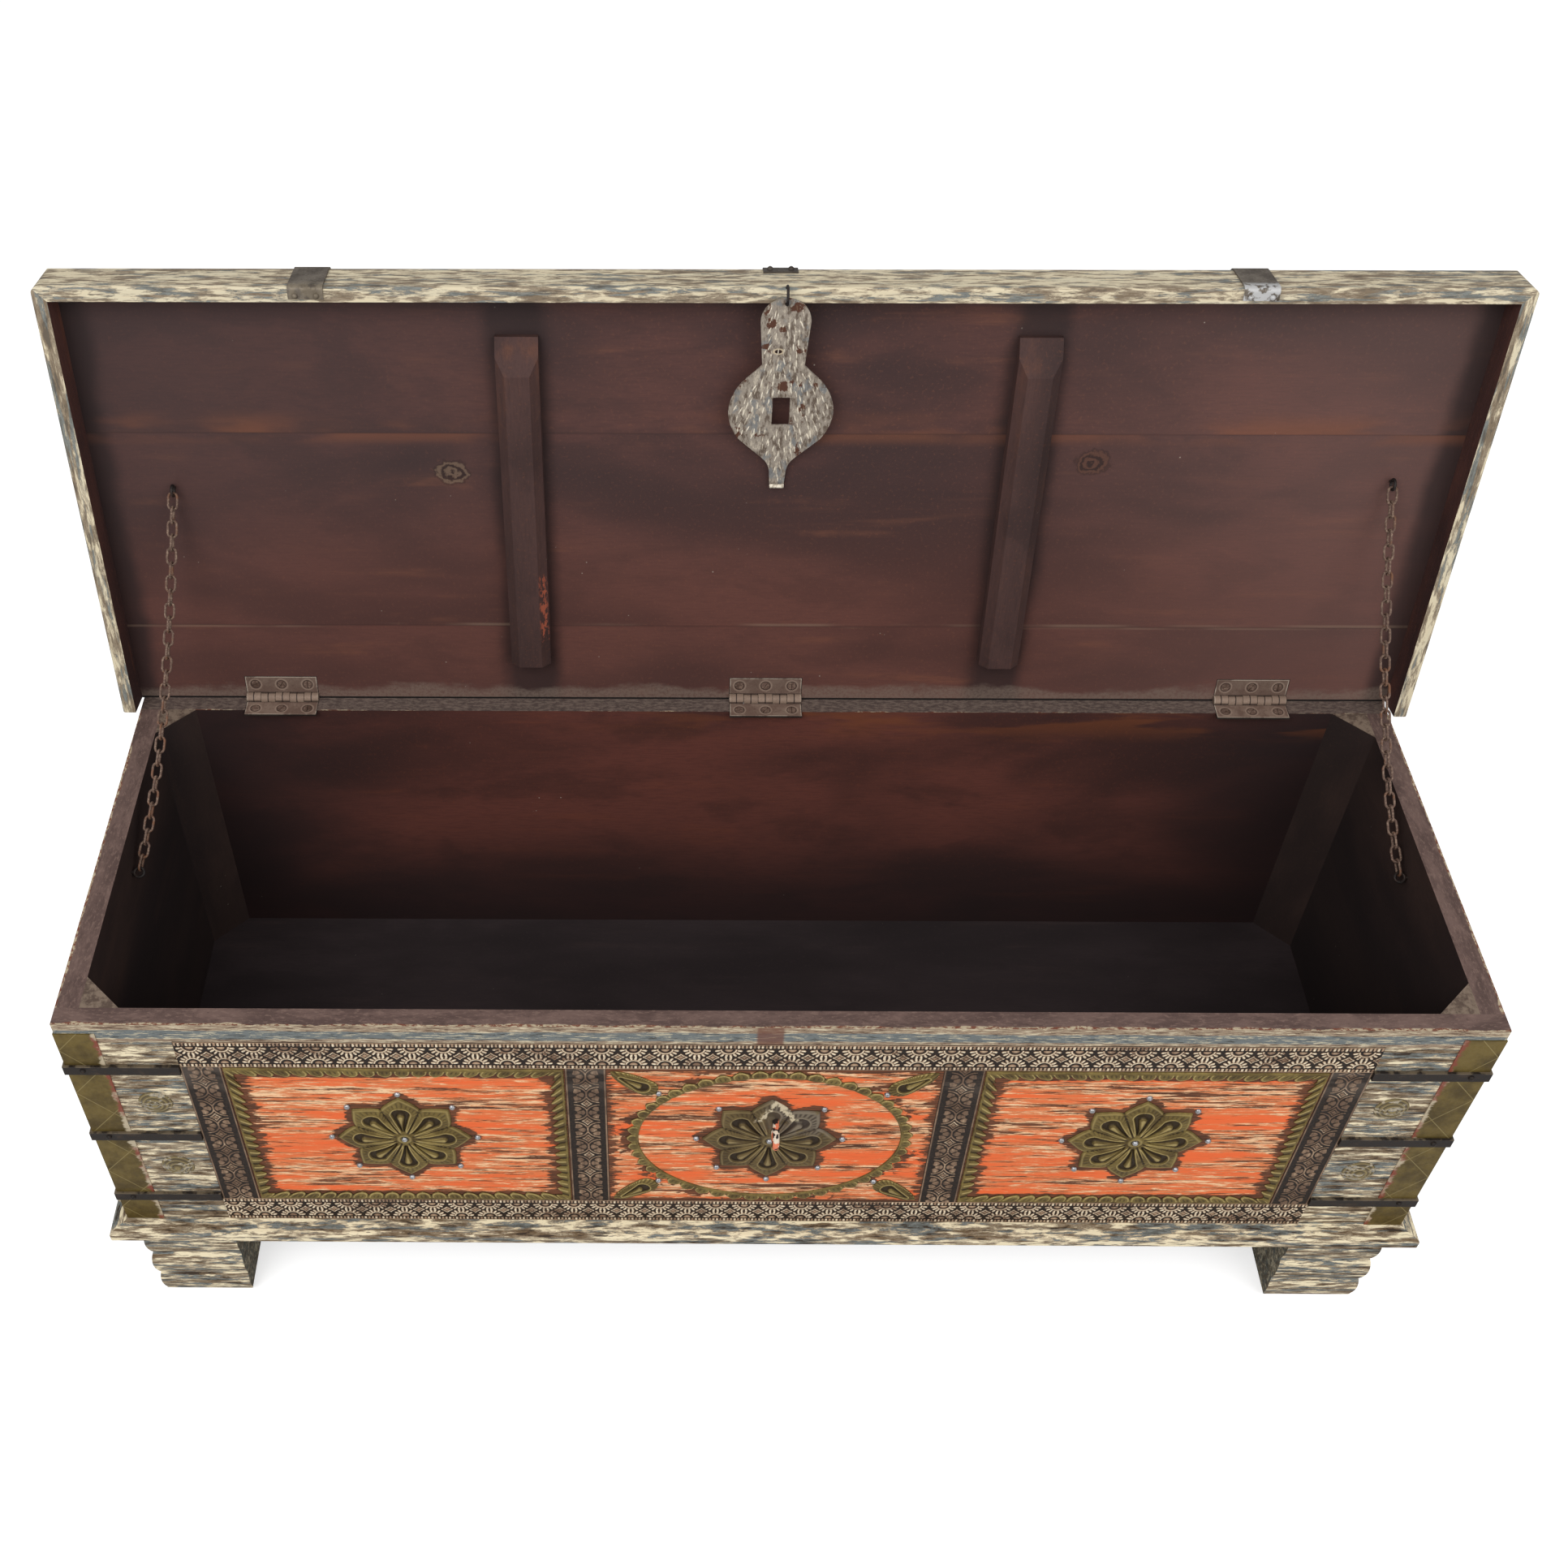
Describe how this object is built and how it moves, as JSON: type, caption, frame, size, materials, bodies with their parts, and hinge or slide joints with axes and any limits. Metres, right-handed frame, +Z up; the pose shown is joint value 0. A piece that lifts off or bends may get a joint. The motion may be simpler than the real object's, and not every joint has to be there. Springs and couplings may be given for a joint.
{
  "type": "storage chest",
  "caption": "Low painted wooden storage chest on stepped feet, with brass-trimmed front, hinged lid held open by chains, and a hanging hasp with staple.",
  "frame": {"origin": "middle of the whole open chest's outline on the floor: halfway between its sides, and halfway between the staple in front and the back of the open lid; Z = 0 is under the feet", "axes": "+X to the right along the front as one faces it, +Y from the front to the back, +Z up"},
  "size_m": [1.274, 0.529, 0.8764],
  "materials": {
    "painted_wood": "worn blue-grey and cream paint over brown wood",
    "dark_wood": "bare, dark reddish brown",
    "old_brass": "dull, with olive patina",
    "dark_sheet": "embossed and dark, with worn ridges",
    "bright_pins": "silvery",
    "black_iron": "black-brown, worn",
    "rusty_chain": "rusty grey-brown",
    "painted_iron": "engraved, worn grey-cream paint with rust"
  },
  "bodies": {
    "chest": {"front_panel": "painted_wood", "back_panel": "painted_wood", "left_side_panel": "painted_wood", "right_side_panel": "painted_wood", "floor_panel": "dark_wood", "corner_block_front_left": "dark_wood", "corner_block_front_right": "dark_wood", "corner_block_back_right": "dark_wood", "corner_block_back_left": "dark_wood", "base_moulding_front": "painted_wood", "base_moulding_right": "painted_wood", "base_moulding_back": "painted_wood", "base_moulding_left": "painted_wood", "foot_front_left": "painted_wood", "foot_front_right": "painted_wood", "foot_back_right": "painted_wood", "foot_back_left": "painted_wood", "embossed_rails": "dark_sheet", "embossed_stiles": "dark_sheet", "scallop_trim_left": "old_brass", "scallop_trim_right": "old_brass", "scallop_ring": "old_brass", "rosette_left": "old_brass", "rosette_centre": "old_brass", "rosette_right": "old_brass", "corner_leaves": "old_brass", "silver_pins": "bright_pins", "corner_wrap_left": "old_brass", "corner_wrap_right": "old_brass", "iron_bands": "black_iron", "band_nails": "black_iron", "brass_studs": "old_brass", "hasp_staple": "black_iron", "hinge_box_leaf_left": "black_iron", "hinge_box_leaf_centre": "black_iron", "hinge_box_leaf_right": "black_iron", "hinge_pins": "black_iron", "box_hinge_screws": "black_iron", "box_chain_eyes": "black_iron", "chain_left": "rusty_chain", "chain_right": "rusty_chain"},
    "lid": {"lid_board_front": "dark_wood", "lid_board_middle": "dark_wood", "lid_board_back": "dark_wood", "lid_rail_front": "painted_wood", "lid_rail_left": "painted_wood", "lid_rail_right": "painted_wood", "lid_batten_left": "dark_wood", "lid_batten_right": "dark_wood", "lid_straps": "black_iron", "strap_nails": "black_iron", "hinge_lid_leaf_left": "black_iron", "hinge_lid_leaf_centre": "black_iron", "hinge_lid_leaf_right": "black_iron", "lid_hinge_screws": "black_iron", "lid_chain_eyes": "black_iron"},
    "hasp": {"hasp_ring": "black_iron", "hasp_plate": "painted_iron"}
  },
  "joints": [
    {"name": "lid_hinge", "type": "hinge", "parent": "chest", "child": "lid", "pos_m": [0, 0.17548, 0.44465], "axis": [1, 0, 0], "range_deg": [0, 99], "deforming": ["chain_left", "chain_right"]},
    {"name": "hasp_hang", "type": "hinge", "parent": "lid", "child": "hasp", "pos_m": [0.004, 0.20973, 0.8677], "axis": [1, 0, 0], "range_deg": [-115, 0]}
  ],
  "couplings": [
    {"joint": "hasp_hang", "follows": "lid_hinge", "ratio": -1.1616}
  ]
}
